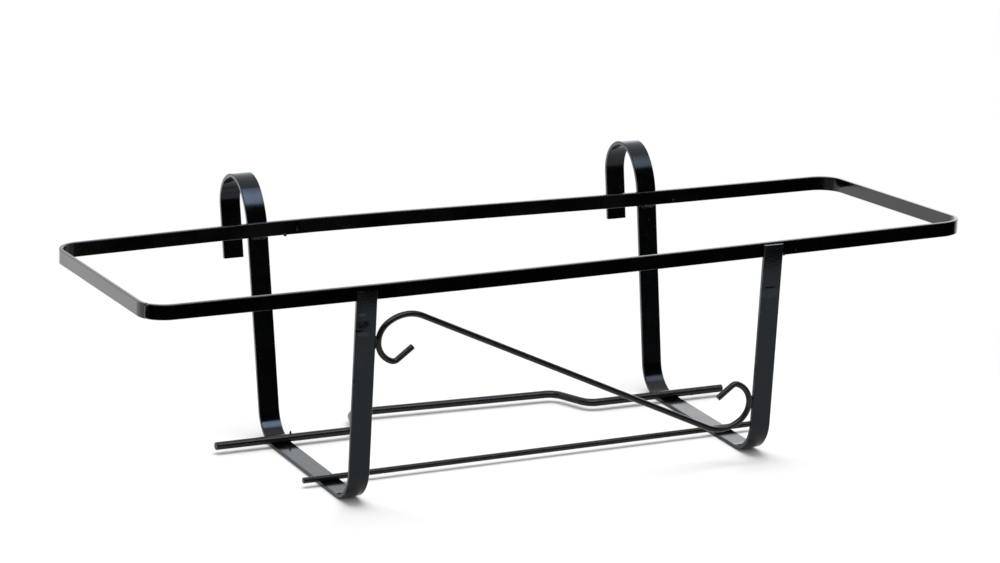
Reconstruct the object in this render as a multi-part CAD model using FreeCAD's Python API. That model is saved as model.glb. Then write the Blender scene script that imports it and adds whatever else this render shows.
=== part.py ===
import FreeCAD, Part
import math
import os

os.makedirs("parts", exist_ok=True)

# Axes: +X along the long side of the ring, +Y towards the rail the hooks go
# over, +Z up.  The origin is at the bottom, under the middle of the overall box.
# Everything is drawn about the middle of the ring and shifted when it is saved.

# Ring: flat bar on edge, bent by hand round the flower box and slightly out of
# true, so each corner has its own reach from midway between the brackets, and
# each corner and each arm that carries the ring has its own height
RING_WIDTH = 198.0
RING_BAR_HEIGHT = 11.0
RING_BAR_THICKNESS = 3.0
RING_CORNER_RADIUS = 20.0
FRONT_LEFT_REACH = 331.2
FRONT_RIGHT_REACH = 336.9
BACK_LEFT_REACH = 330.3
BACK_RIGHT_REACH = 331.2
FRONT_LEFT_TOP = 166.4
FRONT_RIGHT_TOP = 171.3
BACK_LEFT_TOP = 159.0
BACK_RIGHT_TOP = 158.0
LEFT_FRONT_ARM_TOP = 166.5
RIGHT_FRONT_ARM_TOP = 169.1
LEFT_BACK_ARM_TOP = 161.3
RIGHT_BACK_ARM_TOP = 158.1
RING_SEAM_SHARE = 0.36
RING_SEAM_GAP = 3.0

# Brackets: flat strap bent into front arm, base, back arm, neck, hook and leg,
# with a back arm and a hook that differ a little from one to the other
STRAP_WIDTH = 16.0
STRAP_THICKNESS = 3.0
BRACKET_SPACING = 330.6
BASE_BEND_RADIUS = 24.0
FRONT_ARM_LEAN = 2.24
LEFT_ARM_STEP = 3.0
RIGHT_ARM_STEP = 1.0
LEFT_BACK_LEAN = 12.5
RIGHT_BACK_LEAN = 9.6
LEFT_NECK_START = 154.6
RIGHT_NECK_START = 156.1
LEFT_NECK_RADIUS = 53.5
RIGHT_NECK_RADIUS = 45.4
NECK_END_LEAN = 45.9
LEFT_HOOK_RADIUS = 22.0
RIGHT_HOOK_RADIUS = 22.8
LEFT_LEG_HEIGHT = 120.2
RIGHT_LEG_HEIGHT = 122.4

# Back rod: lies on both bases and is cranked backwards between them; cranks
# start and finish at distances measured inwards from their brackets
BACK_ROD_DIAMETER = 6.0
BACK_ROD_SETBACK = 0.0
BACK_ROD_LEFT_END = 53.0
BACK_ROD_RIGHT_END = 46.5
BACK_ROD_BEND_RADIUS = 12.0
LEFT_CRANK_START = 62.0
LEFT_CRANK_FINISH = 74.0
LEFT_CRANK_STEP = 39.8
RIGHT_CRANK_START = 71.0
RIGHT_CRANK_FINISH = 86.0
RIGHT_CRANK_STEP = 31.3

# Front rod: straight, laid slightly out of square across both bases
FRONT_ROD_DIAMETER = 4.5
FRONT_ROD_LEFT_END = 21.5
FRONT_ROD_RIGHT_END = 26.0
FRONT_ROD_LEFT_REACH = 25.2
FRONT_ROD_RIGHT_REACH = 32.0

# Scroll: one wire between the front arms, a diagonal with a curl at each end
SCROLL_DIAMETER = 4.5
SCROLL_CENTRE_HEIGHT = 84.1
SCROLL_SLOPE = 25.07
SCROLL_ARM_GAP = 0.5
SWEEP_BEND_RADIUS = 26.9
SWEEP_BEND_ANGLE = 62.0
CURL_BEND_RADIUS = 16.8
CURL_BEND_ANGLE = 123.0
TIP_BEND_RADIUS = 5.0
TIP_BEND_ANGLE = 57.5
SCROLL_TAIL = 14.6

# Finishing of cut and rolled edges
STRAP_EDGE_BEVEL = 0.4
RING_EDGE_BEVEL = 0.4
ROD_END_CHAMFER = 0.3

# Welds: crown of the filled seam, then the legs and length of each run in a
# corner.  Behind a rod the shares are of its diameter; the root lies a little
# inside the metal, the crest says how full the face is and the toe how far the
# ends are tapered
SEAM_CROWN = 0.5
RING_BEAD_LEG = 3.4
RING_BEAD_LENGTH = 14.5
ROD_BEAD_ROOT_SHARE = 0.2
ROD_BEAD_LEG_SHARE = 0.8
ROD_BEAD_RISE_SHARE = 0.62
ROD_BEAD_LENGTH = 11.0
SCROLL_BEAD_RADIUS = 1.8
SCROLL_BEAD_LENGTH = 10.0
BEAD_ROOT = 0.3
BEAD_CREST = 0.62
BEAD_TOE_SHARE = 0.4


def vec(x, y, z=0.0):
    return FreeCAD.Vector(x, y, z)


def forward(angle):
    return vec(math.cos(angle), math.sin(angle))


def leftward(angle):
    return vec(-math.sin(angle), math.cos(angle))


def follow(start, heading, moves, side=0.0):
    """Straight runs (length,) and tangent bends (radius, turn) chained in the
    XY plane; left turns are positive; side shifts the chain to its left."""
    angle = math.radians(heading)
    point = start + leftward(angle) * side
    edges = []
    for move in moves:
        if len(move) == 1:
            end = point + forward(angle) * move[0]
            edges.append(Part.makeLine(point, end))
        else:
            sense = math.copysign(1.0, move[1])
            turn = math.radians(move[1])
            radius = move[0] * sense - side
            centre = point + leftward(angle) * radius
            middle = centre - leftward(angle + turn / 2) * radius
            end = centre - leftward(angle + turn) * radius
            edges.append(Part.Arc(point, middle, end).toShape())
            angle += turn
        point = end
    return edges


def bent_strap(start, heading, moves, thickness, width):
    """Flat strap bent the easy way, as wide as it is extruded along Z."""
    left = follow(start, heading, moves, thickness / 2)
    right = follow(start, heading, moves, -thickness / 2)
    first = Part.makeLine(left[0].firstVertex().Point, right[0].firstVertex().Point)
    last = Part.makeLine(left[-1].lastVertex().Point, right[-1].lastVertex().Point)
    outline = Part.Wire(Part.sortEdges(left + right + [first, last])[0])
    strap = Part.Face(outline).extrude(vec(0, 0, width))
    sides = [face for face in strap.Faces if face.BoundBox.ZLength < width / 2]
    rims = [edge for face in sides for edge in face.Edges]
    return strap.makeChamfer(STRAP_EDGE_BEVEL, rims)


def bent_rod(start, heading, moves, diameter):
    """Round wire along a chain of runs and bends, with both cut ends eased."""
    spine = Part.Wire(follow(start, heading, moves))
    axis = forward(math.radians(heading))
    section = Part.Wire([Part.makeCircle(diameter / 2, start, axis)])
    rod = spine.makePipeShell([section], True, False)
    ends = [face for face in rod.Faces if isinstance(face.Surface, Part.Plane)]
    rims = [edge for face in ends for edge in face.Edges]
    return rod.makeChamfer(ROD_END_CHAMFER, rims)


def fillet_bead(corner, leg, rise, length):
    """Weld run along X in a corner, with a convex face from the end of its leg
    to the end of its rise, shorter at its face than at its root."""
    root = corner - vec(length / 2, 0)
    face = Part.Arc(root + leg, root + (leg + rise) * BEAD_CREST, root + rise)
    section = Part.Wire([
        Part.makeLine(root, root + leg),
        face.toShape(),
        Part.makeLine(root + rise, root)])
    run = Part.Face(section).extrude(vec(length, 0))
    reach = leg + rise
    across = leg - rise
    toe = vec(length / 2 * BEAD_TOE_SHARE, 0)
    plan = [root, root + vec(length, 0), corner + reach + toe, corner + reach - toe]
    tapered = Part.Face(Part.makePolygon(plan + plan[:1])).translated(-across)
    return run.common(tapered.extrude(across * 2))


def round_bead(radius, length, centre, axis):
    """Weld run centred on a point, tapered over a radius at both ends."""
    half = axis * (length / 2 - radius)
    run = Part.makeCylinder(radius, 2 * half.Length, centre - half, axis)
    tips = [
        Part.makeCone(radius, radius / 2, radius, centre + end, end)
        for end in (half, -half)]
    return run.fuse(tips)


pieces = {}

# Ring: swept from one side of the seam round to the other; the bar is drawn
# by the middle of its section, which stays upright all the way
half_width = RING_WIDTH / 2
half_bar = RING_BAR_HEIGHT / 2
half_sheet = RING_BAR_THICKNESS / 2
inset_width = half_width - half_sheet
front_line = -inset_width
back_line = inset_width
left_x = -BRACKET_SPACING / 2
right_x = BRACKET_SPACING / 2
front_tops = [LEFT_FRONT_ARM_TOP, RIGHT_FRONT_ARM_TOP]
back_tops = [LEFT_BACK_ARM_TOP, RIGHT_BACK_ARM_TOP]
ring_corners = [
    vec(half_sheet - FRONT_LEFT_REACH, front_line, FRONT_LEFT_TOP - half_bar),
    vec(FRONT_RIGHT_REACH - half_sheet, front_line, FRONT_RIGHT_TOP - half_bar),
    vec(BACK_RIGHT_REACH - half_sheet, back_line, BACK_RIGHT_TOP - half_bar),
    vec(half_sheet - BACK_LEFT_REACH, back_line, BACK_LEFT_TOP - half_bar)]
arm_points = [
    [vec(x, front_line, top - half_bar) for x, top in zip((left_x, right_x), front_tops)],
    [],
    [vec(x, back_line, top - half_bar) for x, top in zip((right_x, left_x), back_tops[::-1])],
    []]


def corner_bend(before, corner, after, radius):
    arriving = (corner - before).normalize()
    leaving = (after - corner).normalize()
    half_turn = arriving.getAngle(leaving) / 2
    start = corner - arriving * radius * math.tan(half_turn)
    end = corner + leaving * radius * math.tan(half_turn)
    inwards = (leaving - arriving).normalize()
    return Part.Arc(start, corner + inwards * radius * (1 / math.cos(half_turn) - 1), end)


def bar_run(nearer, between, further):
    """Side of the ring from one bend to the next: straight, or sprung gently
    through the points where arms hold it."""
    start = nearer.value(nearer.LastParameter)
    end = further.value(further.FirstParameter)
    if not between:
        return Part.makeLine(start, end)
    curve = Part.BSplineCurve()
    curve.interpolate(
        Points=[start] + between + [end],
        InitialTangent=nearer.tangent(nearer.LastParameter)[0],
        FinalTangent=further.tangent(further.FirstParameter)[0])
    return curve.toShape()


bends = [
    corner_bend(
        ([ring_corners[i - 1]] + arm_points[i - 1])[-1],
        ring_corners[i],
        (arm_points[i] + [ring_corners[(i + 1) % 4]])[0],
        RING_CORNER_RADIUS - half_sheet)
    for i in range(4)]
seam_bend = bends[0]
seam_turn = seam_bend.LastParameter - seam_bend.FirstParameter
seam_parameter = seam_bend.FirstParameter + seam_turn * RING_SEAM_SHARE
seam_share = RING_SEAM_GAP / 2 / seam_bend.length() * seam_turn
ring_edges = [seam_bend.toShape(seam_parameter + seam_share, seam_bend.LastParameter)]
for number in range(4):
    further = bends[(number + 1) % 4]
    ring_edges.append(bar_run(bends[number], arm_points[number], further))
    ring_edges.append(further.toShape())
ring_edges[-1] = seam_bend.toShape(seam_bend.FirstParameter, seam_parameter - seam_share)

start_point = seam_bend.value(seam_parameter + seam_share)
start_tangent = seam_bend.tangent(seam_parameter + seam_share)[0]
outwards = start_tangent.cross(vec(0, 0, 1)).normalize()
bevel = RING_EDGE_BEVEL
outline = [
    (half_sheet, half_bar - bevel), (half_sheet - bevel, half_bar),
    (bevel - half_sheet, half_bar), (-half_sheet, half_bar - bevel),
    (-half_sheet, bevel - half_bar), (bevel - half_sheet, -half_bar),
    (half_sheet - bevel, -half_bar), (half_sheet, bevel - half_bar)]
section = Part.makePolygon([
    start_point + outwards * across + vec(0, 0, up) for across, up in outline + outline[:1]])
sweep = Part.BRepOffsetAPI.MakePipeShell(Part.Wire(ring_edges))
sweep.setBiNormalMode(vec(0, 0, 1))
sweep.add(section)
sweep.build()
sweep.makeSolid()
ring = sweep.shape()
pieces["ring_bar"] = ring
seam_sides = []
for parameter in (seam_parameter - seam_share, seam_parameter + seam_share):
    point = seam_bend.value(parameter)
    across = seam_bend.tangent(parameter)[0].cross(vec(0, 0, 1)).normalize() * half_sheet
    seam_sides.append((point - across, point + across))
seam_middle = seam_bend.value(seam_parameter)
crown = outwards * (half_sheet + SEAM_CROWN)
for sides in seam_sides:
    for corner in sides:
        corner.z = seam_middle.z
(inner_a, outer_a), (inner_b, outer_b) = seam_sides
seam_outline = Part.Wire([
    Part.makeLine(inner_a, outer_a),
    Part.Arc(outer_a, seam_middle + crown, outer_b).toShape(),
    Part.makeLine(outer_b, inner_b),
    Part.Arc(inner_b, seam_middle - crown, inner_a).toShape()])
seam_height = vec(0, 0, RING_BAR_HEIGHT - 2 * RING_EDGE_BEVEL)
pieces["ring_seam_weld"] = (
    Part.Face(seam_outline).translated(seam_height / -2).extrude(seam_height))

front_y = -half_width
back_y = half_width
ring_front_edge = min(front_tops) - RING_BAR_HEIGHT
ring_back_edge = min(back_tops) - RING_BAR_HEIGHT

# Brackets: their arms are set so that their inner faces meet the lower outer
# edges of the ring; the lines below are the middle of the strap
front_lean = math.radians(FRONT_ARM_LEAN)
half_strap = STRAP_THICKNESS / 2
bend_middle = BASE_BEND_RADIUS + half_strap
front_turn = 90.0 - FRONT_ARM_LEAN
front_tangent = bend_middle * math.tan(math.radians(front_turn / 2))


def front_arm_y(z):
    lean_back = (ring_front_edge - z) * math.tan(front_lean)
    return front_y - half_strap / math.cos(front_lean) + lean_back


base_front_y = front_arm_y(half_strap) + front_tangent


def base_back_y(lean):
    """Where the base ends and the back bend begins, for a back arm that leans
    by this angle and meets the lower edge of the ring."""
    arm_y = back_y + half_strap / math.cos(lean)
    foot_y = arm_y - (ring_back_edge - half_strap) * math.tan(lean)
    return foot_y - bend_middle * math.tan(math.pi / 4 - lean / 2)


def make_bracket(middle_x, front_top, lean, neck_start, neck_radius, hook_radius, leg_height):
    """The hook's leg comes down parallel to the back arm, so its length follows
    from the height at which the hook ends."""
    arm_length = (front_top - half_strap) / math.cos(front_lean) - front_tangent
    base_length = base_back_y(lean) - base_front_y
    back_tangent = bend_middle * math.tan(math.pi / 4 - lean / 2)
    back_arm_length = (neck_start - half_strap) / math.cos(lean) - back_tangent
    neck_middle = neck_radius + half_strap
    hook_middle = hook_radius + half_strap
    end_lean = math.radians(NECK_END_LEAN)
    neck_rise = neck_middle * (math.sin(end_lean) - math.sin(lean))
    hook_drop = hook_middle * (math.sin(end_lean) + math.sin(lean))
    leg_top = neck_start + neck_rise - hook_drop
    neck_turn = NECK_END_LEAN - math.degrees(lean)
    bracket = bent_strap(
        vec(front_arm_y(front_top), front_top),
        FRONT_ARM_LEAN - 90.0,
        [
            (arm_length,),
            (bend_middle, front_turn),
            (base_length,),
            (bend_middle, 90.0 - math.degrees(lean)),
            (back_arm_length,),
            (neck_middle, -neck_turn),
            (hook_middle, neck_turn - 180.0),
            ((leg_top - leg_height) / math.cos(lean),),
        ],
        STRAP_THICKNESS,
        STRAP_WIDTH)
    bracket.rotate(vec(0, 0), vec(1, 1, 1), 120.0)
    return bracket.translated(vec(middle_x - STRAP_WIDTH / 2, 0))


left_lean = math.radians(LEFT_BACK_LEAN)
right_lean = math.radians(RIGHT_BACK_LEAN)
left_bracket = make_bracket(
    left_x, LEFT_FRONT_ARM_TOP - LEFT_ARM_STEP, left_lean,
    LEFT_NECK_START, LEFT_NECK_RADIUS, LEFT_HOOK_RADIUS, LEFT_LEG_HEIGHT)
right_bracket = make_bracket(
    right_x, RIGHT_FRONT_ARM_TOP - RIGHT_ARM_STEP, right_lean,
    RIGHT_NECK_START, RIGHT_NECK_RADIUS, RIGHT_HOOK_RADIUS, RIGHT_LEG_HEIGHT)
pieces["left_bracket"] = left_bracket
pieces["right_bracket"] = right_bracket

# Ring welds: one under the bar in the corner it makes with each arm
for number, side, bracket_x, strap in (
        (0, "left", left_x, left_bracket), (1, "right", right_x, right_bracket)):
    for end, bar_y, bar_top, inward in (
            ("front", front_y, front_tops[number], 1.0),
            ("back", back_y, back_tops[number], -1.0)):
        under_bar = bar_top - RING_BAR_HEIGHT + RING_EDGE_BEVEL
        ring_bead = fillet_bead(
            vec(bracket_x, bar_y - inward * BEAD_ROOT, under_bar),
            vec(0, inward * RING_BEAD_LEG),
            vec(0, 0, -RING_BEAD_LEG),
            RING_BEAD_LENGTH)
        pieces[side + "_" + end + "_ring_weld"] = ring_bead.cut([ring, strap])

# Back rod: runs along both bases just ahead of the back bends
back_rod_y = min(base_back_y(left_lean), base_back_y(right_lean)) - BACK_ROD_SETBACK
back_rod_corners = [
    vec(left_x - BACK_ROD_LEFT_END, back_rod_y),
    vec(left_x + LEFT_CRANK_START, back_rod_y),
    vec(left_x + LEFT_CRANK_FINISH, back_rod_y + LEFT_CRANK_STEP),
    vec(right_x - RIGHT_CRANK_FINISH, back_rod_y + RIGHT_CRANK_STEP),
    vec(right_x - RIGHT_CRANK_START, back_rod_y),
    vec(right_x + BACK_ROD_RIGHT_END, back_rod_y)]
runs = [b - a for a, b in zip(back_rod_corners, back_rod_corners[1:])]
angles = [math.atan2(run.y, run.x) for run in runs]
turns = [b - a for a, b in zip(angles, angles[1:])]
eases = [BACK_ROD_BEND_RADIUS * math.tan(abs(turn) / 2) for turn in turns]
back_rod_moves = [(runs[0].Length - eases[0],)]
for turn, run, ease, next_ease in zip(turns, runs[1:], eases, eases[1:] + [0.0]):
    back_rod_moves.append((BACK_ROD_BEND_RADIUS, math.degrees(turn)))
    back_rod_moves.append((run.Length - ease - next_ease,))
back_rod = bent_rod(back_rod_corners[0], 0.0, back_rod_moves, BACK_ROD_DIAMETER)
back_rod.translate(vec(0, 0, STRAP_THICKNESS + BACK_ROD_DIAMETER / 2))
pieces["back_rod"] = back_rod

# Front rod: each end's reach is measured back from the start of the front bend
front_rod_left = vec(left_x - FRONT_ROD_LEFT_END, base_front_y + FRONT_ROD_LEFT_REACH)
front_rod_right = vec(right_x + FRONT_ROD_RIGHT_END, base_front_y + FRONT_ROD_RIGHT_REACH)
front_rod_run = front_rod_right - front_rod_left
front_rod_slant = front_rod_run.y / front_rod_run.x
front_rod = bent_rod(
    front_rod_left,
    math.degrees(math.atan(front_rod_slant)),
    [(front_rod_run.Length,)],
    FRONT_ROD_DIAMETER)
front_rod.translate(vec(0, 0, STRAP_THICKNESS + FRONT_ROD_DIAMETER / 2))
pieces["front_rod"] = front_rod

# Rod welds: one behind each rod, in the corner it makes with each base
for side, bracket_x, strap in (("left", left_x, left_bracket), ("right", right_x, right_bracket)):
    front_rod_y = front_rod_left.y + (bracket_x - front_rod_left.x) * front_rod_slant
    for end, rod, rod_y, diameter in (
            ("front", front_rod, front_rod_y, FRONT_ROD_DIAMETER),
            ("back", back_rod, back_rod_y, BACK_ROD_DIAMETER)):
        root_y = rod_y + diameter * ROD_BEAD_ROOT_SHARE
        rod_bead = fillet_bead(
            vec(bracket_x, root_y, STRAP_THICKNESS - BEAD_ROOT),
            vec(0, diameter * ROD_BEAD_LEG_SHARE),
            vec(0, 0, diameter * ROD_BEAD_RISE_SHARE + BEAD_ROOT),
            ROD_BEAD_LENGTH)
        pieces[side + "_" + end + "_rod_weld"] = rod_bead.cut([rod, strap])

# Scroll: drawn about its own centre, one half the other turned half a turn.
# The curl is widest where its heading points straight down; that point stands
# one small gap inside the front arm and fixes the length of the diagonal.
curl = [
    (SWEEP_BEND_RADIUS, SWEEP_BEND_ANGLE),
    (CURL_BEND_RADIUS, CURL_BEND_ANGLE),
    (TIP_BEND_RADIUS, TIP_BEND_ANGLE)]
slope = math.radians(SCROLL_SLOPE)
heading = math.pi - slope
widest_out = 0.0
widest_down = 0.0
for bend_radius, bend_angle in curl:
    end_heading = min(heading + math.radians(bend_angle), 1.5 * math.pi)
    widest_out += bend_radius * (math.sin(heading) - math.sin(end_heading))
    widest_down += bend_radius * (math.cos(end_heading) - math.cos(heading))
    heading = end_heading
arm_inner_edge = right_x - STRAP_WIDTH / 2
widest_x = arm_inner_edge - SCROLL_ARM_GAP - SCROLL_DIAMETER / 2
half_diagonal = (widest_x - widest_out) / math.cos(slope)
widest_rise = half_diagonal * math.sin(slope) - widest_down

outward = [(half_diagonal,)] + curl + [(SCROLL_TAIL,)]
inward = [(SCROLL_TAIL,)] + [(radius, -angle) for radius, angle in reversed(curl)]
free_end = follow(vec(0, 0), 180.0 - SCROLL_SLOPE, outward)[-1].lastVertex().Point
total_turn = SWEEP_BEND_ANGLE + CURL_BEND_ANGLE + TIP_BEND_ANGLE
scroll = bent_rod(
    -free_end,
    180.0 - SCROLL_SLOPE + total_turn,
    inward + [(half_diagonal,)] + outward,
    SCROLL_DIAMETER)
scroll_centre = vec(0, front_arm_y(SCROLL_CENTRE_HEIGHT), SCROLL_CENTRE_HEIGHT)
scroll.rotate(vec(0, 0), vec(1, 0), 90.0 + FRONT_ARM_LEAN)
scroll.translate(scroll_centre)
pieces["scroll_wire"] = scroll

# Scroll welds: fill the gap between the widest point of each curl and its arm;
# they are hollowed for the wire as it runs straight past that point
up_arm = vec(0, -math.sin(front_lean), math.cos(front_lean))
for side, strap, direction in (("left", left_bracket, -1.0), ("right", right_bracket, 1.0)):
    gap_x = direction * (arm_inner_edge - SCROLL_ARM_GAP / 2)
    rise = up_arm * direction * -widest_rise
    gap_point = scroll_centre + vec(gap_x, 0) + rise
    scroll_bead = round_bead(SCROLL_BEAD_RADIUS, SCROLL_BEAD_LENGTH, gap_point, up_arm)
    wire_point = scroll_centre + vec(direction * widest_x, 0) + rise
    passing_wire = Part.makeCylinder(
        SCROLL_DIAMETER / 2,
        2 * SCROLL_BEAD_LENGTH,
        wire_point - up_arm * SCROLL_BEAD_LENGTH,
        up_arm)
    pieces[side + "_scroll_weld"] = scroll_bead.cut([passing_wire, strap])

overall = ring.BoundBox
overall.add(left_bracket.BoundBox)
overall.add(right_bracket.BoundBox)
middle = vec(overall.Center.x, overall.Center.y)
for name, shape in pieces.items():
    shape.translated(-middle).exportStep("parts/" + name + ".step")
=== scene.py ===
import math

import bmesh
import bpy
from mathutils import Matrix, Vector, noise


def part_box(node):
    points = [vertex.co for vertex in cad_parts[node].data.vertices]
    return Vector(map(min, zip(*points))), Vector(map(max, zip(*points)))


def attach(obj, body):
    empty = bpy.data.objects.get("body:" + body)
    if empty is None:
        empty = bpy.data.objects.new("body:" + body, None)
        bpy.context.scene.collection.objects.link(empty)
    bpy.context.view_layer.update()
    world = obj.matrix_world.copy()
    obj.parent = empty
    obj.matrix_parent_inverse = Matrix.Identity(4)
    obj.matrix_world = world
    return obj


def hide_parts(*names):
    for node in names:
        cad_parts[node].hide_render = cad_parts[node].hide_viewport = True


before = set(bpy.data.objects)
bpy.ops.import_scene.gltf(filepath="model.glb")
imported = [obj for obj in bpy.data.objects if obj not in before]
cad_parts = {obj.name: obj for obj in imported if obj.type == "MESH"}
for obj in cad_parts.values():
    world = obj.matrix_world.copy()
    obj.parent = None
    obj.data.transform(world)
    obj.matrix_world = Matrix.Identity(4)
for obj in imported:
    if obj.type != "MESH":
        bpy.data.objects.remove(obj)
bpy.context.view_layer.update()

# Camera: where it stands, how it is turned and how long its lens is, for a
# picture 1000 pixels wide
CAMERA_PLACE = Vector((-1.312974, -2.656376, 0.977329))
CAMERA_YAW = 26.317
CAMERA_PITCH = 16.159
CAMERA_ROLL = 2.133
FOCAL_PIXELS = 4072.939
IMAGE_WIDTH = 1000
SENSOR_WIDTH = 36.0

# Light: a pale sheet lies under the object.  Round it the camera sees plain
# white, and only glossy rays meet a studio: a bright table and a white wall
# behind, and a dark room in front up to a soft light overhead.  All other rays
# meet an even fill.  Each range is of one component of a ray's direction.  The
# key light hangs overhead, lights the sheet and the paint, and isn't mirrored
SHEET_SIDE_REACH = 0.45
SHEET_FRONT_EDGE = -0.5
SHEET_BACK_EDGE = 0.2
SHEET_DROP = 0.0002
SHEET_WHITE = (0.9, 0.9, 0.9, 1.0)
SHEET_ROUGHNESS = 0.9
SHEET_GLOSS_LEVEL = 0.1
BACKGROUND_WHITE = (1.0, 1.0, 1.0, 1.0)
FILL_LIGHT = (0.62, 0.62, 0.62)
TABLE_LIGHT = (2.05, 2.05, 2.07)
WALL_LIGHT = (1.5, 1.58, 1.64)
BRIGHT_WALL_LIGHT = (2.5, 2.55, 2.6)
CEILING_LIGHT = (1.35, 1.37, 1.4)
SOFTBOX_LIGHT = (6.6, 7.6, 9.4)
DIM_SOFTBOX_LIGHT = (3.0, 3.3, 3.6)
ROOM_LIGHT = (0.001, 0.001, 0.0012)
FRONT_MEETS_BACK = (-0.05, 0.25)
TABLE_MEETS_WALL = (-0.04, 0.06)
WALL_BRIGHTENS = (0.39, 0.48)
WALL_TOP = (0.38, 0.55)
SOFTBOX_DIMS = (0.38, 0.46)
SOFTBOX_FRONT_RISE = (0.66, 0.74)
SOFTBOX_BACK_EDGE = (-0.22, -0.40)
KEY_PLACE = Vector((0.0, 0.3, 2.4))
KEY_SIZE = (2.4, 1.6)
KEY_POWER = 46.0

# Paint: colours are linear, lengths are metres
PAINT_IOR = 1.31
STRAP_IOR = 1.35
BLACK_ENAMEL = (0.0005, 0.0005, 0.0005)
SLATE_ENAMEL = (0.0010, 0.0011, 0.0013)
WIRE_ENAMEL = (0.0055, 0.0054, 0.0042)
WELD_ENAMEL = (0.0012, 0.0012, 0.0011)
NEUTRAL_GLOSS = (1.0, 1.0, 1.0)
SLATE_GLOSS = (0.76, 0.87, 1.0)
WORN_EDGE = (0.075, 0.068, 0.06)
# Painted highlight: the pale tone of the lit sides of dents on the front arms
PAINTED_DENT_HIGHLIGHT = (0.030, 0.033, 0.036)
RUST = (0.10, 0.042, 0.018)

# Patterns in the paint: the size of each noise, then the values of it between
# which the pattern fades in, and the height of those that stand proud
GLOSS_DRIFT_SIZE = 0.03
GLOSS_DRIFT_RANGE = (0.3, 0.7)
ROUGHNESS_DRIFT = (-0.04, 0.06)
TONE_PATCH_SIZE = 0.006
TONE_PATCH_RANGE = (0.35, 0.75)
TONE_PATCH_GAIN = 2.2
SCUFF_SIZE = 0.004
SCUFF_RANGE = (0.50, 0.66)
SPECK_SIZE = 0.0022
SPECK_RANGE = (0.70, 0.78)
RUST_AREA_SIZE = 0.018
RUST_AREA_RANGE = (0.45, 0.62)
ORANGE_PEEL_SIZE = 0.0016
ORANGE_PEEL_STRENGTH = 0.12
ORANGE_PEEL_HEIGHT = 0.00012
STREAK_SIZE = 0.0016
STREAK_SQUEEZE = (1.0, 1.0, 0.04)
STREAK_HEIGHT = 0.00015
PAINT_LUMP_SIZE = 0.0012
PAINT_LUMP_HEIGHT = 0.0004

# Worn edges: how far an edge reaches, and how far a face's normal and its eased
# one agree where the wear starts and where it is full
EDGE_RADIUS = 0.0005
EDGE_SAMPLES = 4
EDGE_RANGE = (0.985, 0.90)

# The photographed ring hangs lower at its back and its bar leans with it.  The
# solid's bar stands upright, so the lean is only in the shading of its upright
# faces, and it fades in as the rise of a normal falls through the range
RING_LEAN = math.radians(3.04)
UPRIGHT_RANGE = (0.5, 0.3)

# Dents on the front arms, painted as highlights (pale) and as shade (dark, with
# the gloss turned off): middle, reach along each axis and depth of tone, for the
# dented patch under the ring on the left and the pressed line on the right
PAINTED_DENT_HIGHLIGHTS = (
    (Vector((-0.1712, -0.1295, 0.1460)), Vector((0.0040, 0.004, 0.0014)), 0.7),
    (Vector((-0.1700, -0.1295, 0.1310)), Vector((0.0060, 0.004, 0.0022)), 0.5),
    (Vector((0.1626, -0.1295, 0.1300)), Vector((0.0110, 0.004, 0.0045)), 0.35))
# Painted shade: the dark sides of the same dents, where the gloss is turned off
PAINTED_DENT_SHADE = (
    (Vector((-0.1705, -0.1295, 0.1385)), Vector((0.0068, 0.004, 0.0040)), 0.75),
    (Vector((-0.1730, -0.1295, 0.1340)), Vector((0.0050, 0.004, 0.0012)), 0.9),
    (Vector((-0.1760, -0.1295, 0.0960)), Vector((0.0016, 0.004, 0.0020)), 0.9),
    (Vector((0.1617, -0.1295, 0.1349)), Vector((0.0064, 0.004, 0.0008)), 0.95))

# How a mark fades in from its reach, and the streaky noise that breaks it up
MARK_FADE = (1.0, 0.55)
MARK_BREAK_SIZE = 0.0016
MARK_BREAK_SQUEEZE = (0.35, 1.0, 1.0)
MARK_BREAK_RANGE = (0.30, 0.55)
MARK_FAINTEST = 0.35
DEFAULT_GLOSS_LEVEL = 0.5

# Welds: lumps laid one after another along each run
WELD_MERGE = 0.000001
WELD_FACET = 0.0008
WELD_CUTS = 4
WELD_ROUNDING = 2
RIPPLE_PITCH = 0.0019
RIPPLE_DEPTH = 0.00020
LUMP_SIZE = 0.0022
LUMP_DEPTH = 0.00030

# Spatter and spilt weld metal: place and half sizes of each drop, given one by
# one where the photograph shows one
DROPS = (
    (Vector((-0.1478, 0.0676, 0.1506)), Vector((0.0014, 0.0009, 0.0013))),
    (Vector((-0.1381, 0.0677, 0.1545)), Vector((0.0008, 0.0005, 0.0020))),
    (Vector((0.1839, 0.0676, 0.1500)), Vector((0.0011, 0.0007, 0.0009))),
    (Vector((0.1540, 0.0695, 0.1478)), Vector((0.0016, 0.0014, 0.0020))),
    (Vector((0.1733, -0.1268, 0.1588)), Vector((0.0013, 0.0008, 0.0011))),
    (Vector((0.1834, -0.1270, 0.1612)), Vector((0.0009, 0.0005, 0.0008))),
    (Vector((0.2644, -0.1266, 0.1700)), Vector((0.0007, 0.0005, 0.0006))),
    (Vector((-0.1600, 0.0205, 0.0094)), Vector((0.0008, 0.0008, 0.0016))),
    (Vector((0.1819, 0.0180, 0.0042)), Vector((0.0012, 0.0009, 0.0011))),
    (Vector((0.1492, -0.1260, 0.0492)), Vector((0.0011, 0.0010, 0.0014))),
    (Vector((0.1500, -0.1260, 0.0450)), Vector((0.0012, 0.0010, 0.0012))),
    (Vector((0.1500, -0.0640, 0.0076)), Vector((0.0012, 0.0009, 0.0008))))
DROP_SUBDIVISIONS = 3
DROP_LUMP_SHARE = 0.25
DROP_LUMP_SCALE = 1.3


# Which sockets of a Mix node carry its colours
MIX_COLOUR_INPUTS = (6, 7)
MIX_COLOUR_OUTPUT = 2


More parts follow.
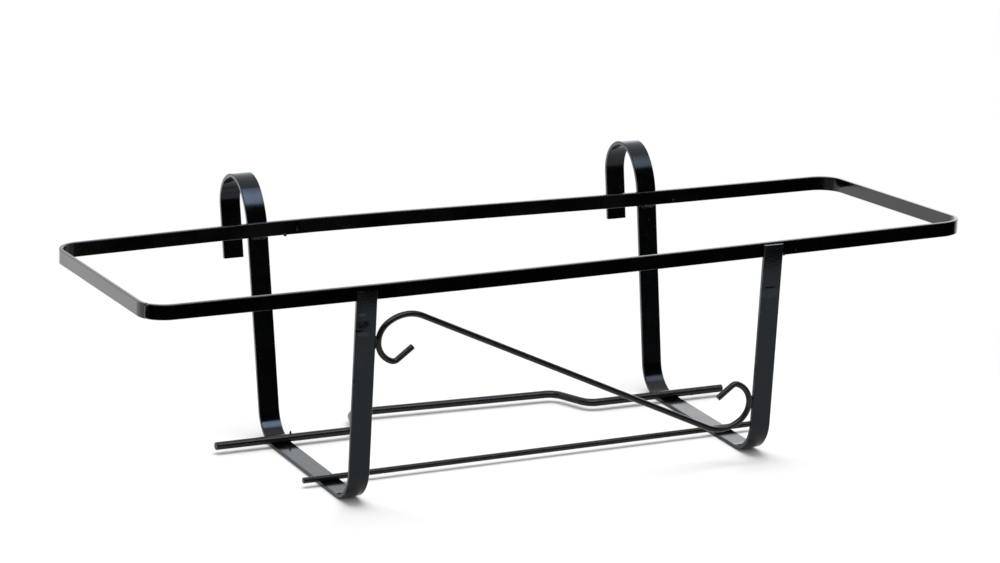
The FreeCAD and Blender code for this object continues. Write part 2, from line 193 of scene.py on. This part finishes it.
def add_node(tree, kind, inputs=None, **settings):
    node = tree.nodes.new("ShaderNode" + kind)
    for name, value in settings.items():
        setattr(node, name, value)
    for name, value in (inputs or {}).items():
        socket = node.inputs[name]
        if isinstance(value, bpy.types.NodeSocket):
            tree.links.new(value, socket)
        else:
            socket.default_value = value
    return node


def math_node(tree, operation, a, b=0.0):
    return add_node(tree, "Math", {0: a, 1: b}, operation=operation).outputs[0]


def ramp(tree, value, low, high, to_low=0.0, to_high=1.0):
    node = add_node(tree, "MapRange", {
        "Value": value, "From Min": low, "From Max": high,
        "To Min": to_low, "To Max": to_high}, interpolation_type="SMOOTHSTEP")
    return node.outputs["Result"]


def mix_colour(tree, share, first, second):
    node = add_node(tree, "Mix", {0: share}, data_type="RGBA")
    for number, value in zip(MIX_COLOUR_INPUTS, (first, second)):
        socket = node.inputs[number]
        if isinstance(value, bpy.types.NodeSocket):
            tree.links.new(value, socket)
        else:
            socket.default_value = (*value, 1.0)
    return node.outputs[MIX_COLOUR_OUTPUT]


def noise_value(tree, place, size, detail=2.0, roughness=0.5):
    node = add_node(tree, "TexNoise", {
        "Vector": place, "Scale": 1.0 / size, "Detail": detail, "Roughness": roughness})
    return node.outputs["Fac"]


def spot(tree, place, middle, reach):
    """Soft patch: one in the middle, fading to nothing at its reach."""
    offset = add_node(
        tree, "VectorMath", {0: place, 1: middle}, operation="SUBTRACT").outputs["Vector"]
    scaled = add_node(
        tree, "VectorMath", {0: offset, 1: reach}, operation="DIVIDE").outputs["Vector"]
    distance = add_node(tree, "VectorMath", {0: scaled}, operation="LENGTH").outputs["Value"]
    return ramp(tree, distance, *MARK_FADE)


def marked(tree, place, painted_dent_shading):
    """Several patches in one value, each broken up by a streaky noise."""
    flat = add_node(
        tree, "Mapping", {"Vector": place, "Scale": MARK_BREAK_SQUEEZE}).outputs["Vector"]
    broken = ramp(
        tree, noise_value(tree, flat, MARK_BREAK_SIZE), *MARK_BREAK_RANGE, MARK_FAINTEST, 1.0)
    total = 0.0
    for middle, reach, depth in painted_dent_shading:
        patch = math_node(tree, "MULTIPLY", spot(tree, place, middle, reach), depth)
        total = math_node(tree, "MAXIMUM", patch, total)
    return math_node(tree, "MULTIPLY", total, broken)


def paint(name, colour, roughness, ior=PAINT_IOR, gloss_colour=NEUTRAL_GLOSS,
          lean=0.0, streaks=0.0, lumps=0.0, specks=0.0, painted_dent_shading=False):
    """Sprayed enamel over mild steel: orange peel, drifting gloss, thin edges
    and, where asked for, drawn streaks, lumps under the paint, rust specks and
    the painted highlights and painted shade of dents on the arms.  A lean turns
    what upright faces mirror about X."""
    material = bpy.data.materials.new(name)
    material.use_nodes = True
    tree = material.node_tree
    shader = tree.nodes["Principled BSDF"]
    place = add_node(tree, "TexCoord").outputs["Object"]

    drift = noise_value(tree, place, GLOSS_DRIFT_SIZE, 3.0)
    patches = noise_value(tree, place, TONE_PATCH_SIZE, 4.0, 0.6)
    lighter = tuple(min(1.0, TONE_PATCH_GAIN * c) for c in colour)
    base = mix_colour(tree, ramp(tree, patches, *TONE_PATCH_RANGE), colour, lighter)

    normal = add_node(tree, "NewGeometry").outputs["Normal"]
    eased = add_node(
        tree, "Bevel", {"Radius": EDGE_RADIUS}, samples=EDGE_SAMPLES).outputs["Normal"]
    along = add_node(
        tree, "VectorMath", {0: normal, 1: eased}, operation="DOT_PRODUCT").outputs["Value"]
    edge = ramp(tree, along, *EDGE_RANGE)
    scuffs = ramp(tree, noise_value(tree, place, SCUFF_SIZE, 3.0), *SCUFF_RANGE)
    base = mix_colour(tree, math_node(tree, "MULTIPLY", edge, scuffs), base, WORN_EDGE)
    if specks:
        spots = noise_value(tree, place, SPECK_SIZE, 1.0)
        blots = ramp(tree, noise_value(tree, place, RUST_AREA_SIZE), *RUST_AREA_RANGE)
        rust = math_node(tree, "MULTIPLY", ramp(tree, spots, *SPECK_RANGE), blots)
        base = mix_colour(tree, math_node(tree, "MULTIPLY", rust, specks), base, RUST)
    # Dents on the arms are painted: a pale colour for their highlights, and the gloss turned off
    # for their shade
    if painted_dent_shading:
        base = mix_colour(tree, marked(tree, place, PAINTED_DENT_HIGHLIGHTS), base, PAINTED_DENT_HIGHLIGHT)
        painted_shade = marked(tree, place, PAINTED_DENT_SHADE)
        level = ramp(tree, painted_shade, 0.0, 1.0, DEFAULT_GLOSS_LEVEL, 0.0)
        tree.links.new(level, shader.inputs["Specular IOR Level"])
    tree.links.new(base, shader.inputs["Base Color"])

    smoothest, roughest = (roughness + step for step in ROUGHNESS_DRIFT)
    gloss = ramp(tree, drift, *GLOSS_DRIFT_RANGE, smoothest, roughest)
    tree.links.new(gloss, shader.inputs["Roughness"])
    shader.inputs["IOR"].default_value = ior
    shader.inputs["Specular Tint"].default_value = (*gloss_colour, 1.0)

    peel = noise_value(tree, place, ORANGE_PEEL_SIZE, 1.0)
    bump = add_node(tree, "Bump", {
        "Height": peel, "Strength": ORANGE_PEEL_STRENGTH, "Distance": ORANGE_PEEL_HEIGHT})
    if lean:
        rise = add_node(tree, "SeparateXYZ", {"Vector": normal}).outputs["Z"]
        upright = ramp(tree, math_node(tree, "ABSOLUTE", rise), *UPRIGHT_RANGE, 0.0, -lean)
        leaning = add_node(tree, "VectorRotate", {
            "Vector": normal, "Angle": upright}, rotation_type="X_AXIS")
        tree.links.new(leaning.outputs["Vector"], bump.inputs["Normal"])
    if streaks:
        turned = add_node(tree, "Mapping", {
            "Vector": place, "Scale": STREAK_SQUEEZE}).outputs["Vector"]
        drawn = noise_value(tree, turned, STREAK_SIZE, 3.0)
        bump = add_node(tree, "Bump", {
            "Height": drawn, "Strength": streaks, "Distance": STREAK_HEIGHT,
            "Normal": bump.outputs["Normal"]})
    if lumps:
        lumpy = noise_value(tree, place, PAINT_LUMP_SIZE, 4.0, 0.65)
        bump = add_node(tree, "Bump", {
            "Height": lumpy, "Strength": lumps, "Distance": PAINT_LUMP_HEIGHT,
            "Normal": bump.outputs["Normal"]})
    tree.links.new(bump.outputs["Normal"], shader.inputs["Normal"])
    return material


def plain_material(name, colour):
    material = bpy.data.materials.new(name)
    material.use_nodes = True
    shader = material.node_tree.nodes["Principled BSDF"]
    shader.inputs["Base Color"].default_value = colour
    shader.inputs["Roughness"].default_value = SHEET_ROUGHNESS
    shader.inputs["Specular IOR Level"].default_value = SHEET_GLOSS_LEVEL
    return material


def new_piece(name, shape, material):
    mesh = bpy.data.meshes.new(name)
    shape.to_mesh(mesh)
    shape.free()
    mesh.polygons.foreach_set("use_smooth", [True] * len(mesh.polygons))
    mesh.materials.append(material)
    piece = bpy.data.objects.new(name, mesh)
    bpy.context.scene.collection.objects.link(piece)
    return piece


def make_camera():
    yaw = math.radians(CAMERA_YAW)
    pitch = math.radians(CAMERA_PITCH)
    ahead = Vector((
        math.sin(yaw) * math.cos(pitch), math.cos(yaw) * math.cos(pitch), -math.sin(pitch)))
    level = Vector((math.cos(yaw), -math.sin(yaw), 0.0))
    turn = Matrix.Rotation(math.radians(CAMERA_ROLL), 3, -ahead)
    right = turn @ level
    up = right.cross(ahead)
    data = bpy.data.cameras.new("camera")
    data.sensor_width = SENSOR_WIDTH
    data.lens = SENSOR_WIDTH * FOCAL_PIXELS / IMAGE_WIDTH
    camera = bpy.data.objects.new("camera", data)
    camera.matrix_world = Matrix.Translation(CAMERA_PLACE) @ Matrix(
        (right, up, -ahead)).transposed().to_4x4()
    bpy.context.scene.collection.objects.link(camera)
    bpy.context.scene.camera = camera


def make_world():
    world = bpy.data.worlds.new("studio")
    world.use_nodes = True
    bpy.context.scene.world = world
    tree = world.node_tree
    direction = add_node(tree, "TexCoord").outputs["Generated"]
    x, y, z = add_node(tree, "SeparateXYZ", {"Vector": direction}).outputs
    softbox = mix_colour(
        tree, ramp(tree, x, *SOFTBOX_DIMS), SOFTBOX_LIGHT, DIM_SOFTBOX_LIGHT)
    overhead = mix_colour(tree, ramp(tree, y, *SOFTBOX_BACK_EDGE), CEILING_LIGHT, softbox)
    front = mix_colour(tree, ramp(tree, z, *SOFTBOX_FRONT_RISE), ROOM_LIGHT, overhead)
    wall = mix_colour(tree, ramp(tree, x, *WALL_BRIGHTENS), WALL_LIGHT, BRIGHT_WALL_LIGHT)
    wall = mix_colour(tree, ramp(tree, z, *WALL_TOP), wall, CEILING_LIGHT)
    back = mix_colour(tree, ramp(tree, z, *TABLE_MEETS_WALL), TABLE_LIGHT, wall)
    light = mix_colour(tree, ramp(tree, y, *FRONT_MEETS_BACK), front, back)
    ray = add_node(tree, "LightPath").outputs
    light = mix_colour(tree, ray["Is Glossy Ray"], FILL_LIGHT, light)
    studio = add_node(tree, "Background", {"Color": light}).outputs[0]
    white = add_node(tree, "Background", {"Color": BACKGROUND_WHITE}).outputs[0]
    mixed = add_node(tree, "MixShader", {
        0: ray["Is Camera Ray"], 1: studio, 2: white}).outputs[0]
    tree.links.new(mixed, tree.nodes["World Output"].inputs["Surface"])


def make_key_light():
    data = bpy.data.lights.new("key", "AREA")
    data.shape = "RECTANGLE"
    data.size, data.size_y = KEY_SIZE
    data.energy = KEY_POWER
    light = bpy.data.objects.new("key", data)
    light.location = KEY_PLACE
    light.rotation_euler = KEY_PLACE.to_track_quat("Z", "Y").to_euler()
    light.visible_glossy = False
    light.visible_camera = False
    bpy.context.scene.collection.objects.link(light)


def make_floor():
    sheet = bmesh.new()
    corners = [
        sheet.verts.new((x, y, -SHEET_DROP))
        for x, y in (
            (-SHEET_SIDE_REACH, SHEET_FRONT_EDGE), (SHEET_SIDE_REACH, SHEET_FRONT_EDGE),
            (SHEET_SIDE_REACH, SHEET_BACK_EDGE), (-SHEET_SIDE_REACH, SHEET_BACK_EDGE))]
    sheet.faces.new(corners)
    floor = new_piece("floor", sheet, plain_material("sheet", SHEET_WHITE))


def hand_laid_weld(name, material):
    """The CAD weld cut into small facets, rounded, rippled and made lumpy."""
    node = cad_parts[name]
    low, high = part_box(name)
    longest = max(range(3), key=lambda axis: high[axis] - low[axis])
    weld = bmesh.new()
    weld.from_mesh(node.data)
    bmesh.ops.remove_doubles(weld, verts=weld.verts, dist=WELD_MERGE)
    for _ in range(WELD_CUTS):
        long_edges = [edge for edge in weld.edges if edge.calc_length() > WELD_FACET]
        bmesh.ops.subdivide_edges(weld, edges=long_edges, cuts=1, use_grid_fill=True)
        bmesh.ops.triangulate(weld, faces=list(weld.faces))
    for _ in range(WELD_ROUNDING):
        bmesh.ops.smooth_vert(
            weld, verts=weld.verts, factor=0.5, use_axis_x=True, use_axis_y=True, use_axis_z=True)
    weld.normal_update()
    for vert in weld.verts:
        phase = vert.co[longest] / RIPPLE_PITCH % 1.0
        swell = noise.noise(vert.co / LUMP_SIZE) * LUMP_DEPTH + phase ** 0.5 * RIPPLE_DEPTH
        vert.co += vert.normal * swell
    piece = new_piece(name + "_run", weld, material)
    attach(piece, "root")
    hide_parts(name)


def weld_drops(material):
    """Drops of weld metal that stuck beside the welds, each a lumpy ball."""
    drops = bmesh.new()
    for place, reach in DROPS:
        made = bmesh.ops.create_icosphere(drops, subdivisions=DROP_SUBDIVISIONS, radius=1.0)
        for vert in made["verts"]:
            lump = 1.0 + DROP_LUMP_SHARE * noise.noise(
                vert.co * DROP_LUMP_SCALE + place / LUMP_SIZE)
            vert.co = place + reach * vert.co * lump
    piece = new_piece("weld_drops", drops, material)
    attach(piece, "root")


bpy.context.scene.view_settings.view_transform = "Standard"
make_camera()
make_world()
make_key_light()
make_floor()

materials = {
    "ring_paint": paint("ring_enamel", BLACK_ENAMEL, roughness=0.14, lean=RING_LEAN),
    "strap_paint": paint(
        "strap_enamel", SLATE_ENAMEL, roughness=0.13, ior=STRAP_IOR,
        gloss_colour=SLATE_GLOSS, streaks=0.15, specks=0.3, painted_dent_shading=True),
    "wire_paint": paint("wire_enamel", WIRE_ENAMEL, roughness=0.22, specks=0.5),
    "weld": paint("weld_enamel", WELD_ENAMEL, roughness=0.26, lumps=0.5, specks=0.8)}
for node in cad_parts.values():
    node.material_slots[0].material = materials[node.material_slots[0].name]

for name in sorted(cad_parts):
    if name.endswith("_weld"):
        hand_laid_weld(name, materials["weld"])
weld_drops(materials["weld"])
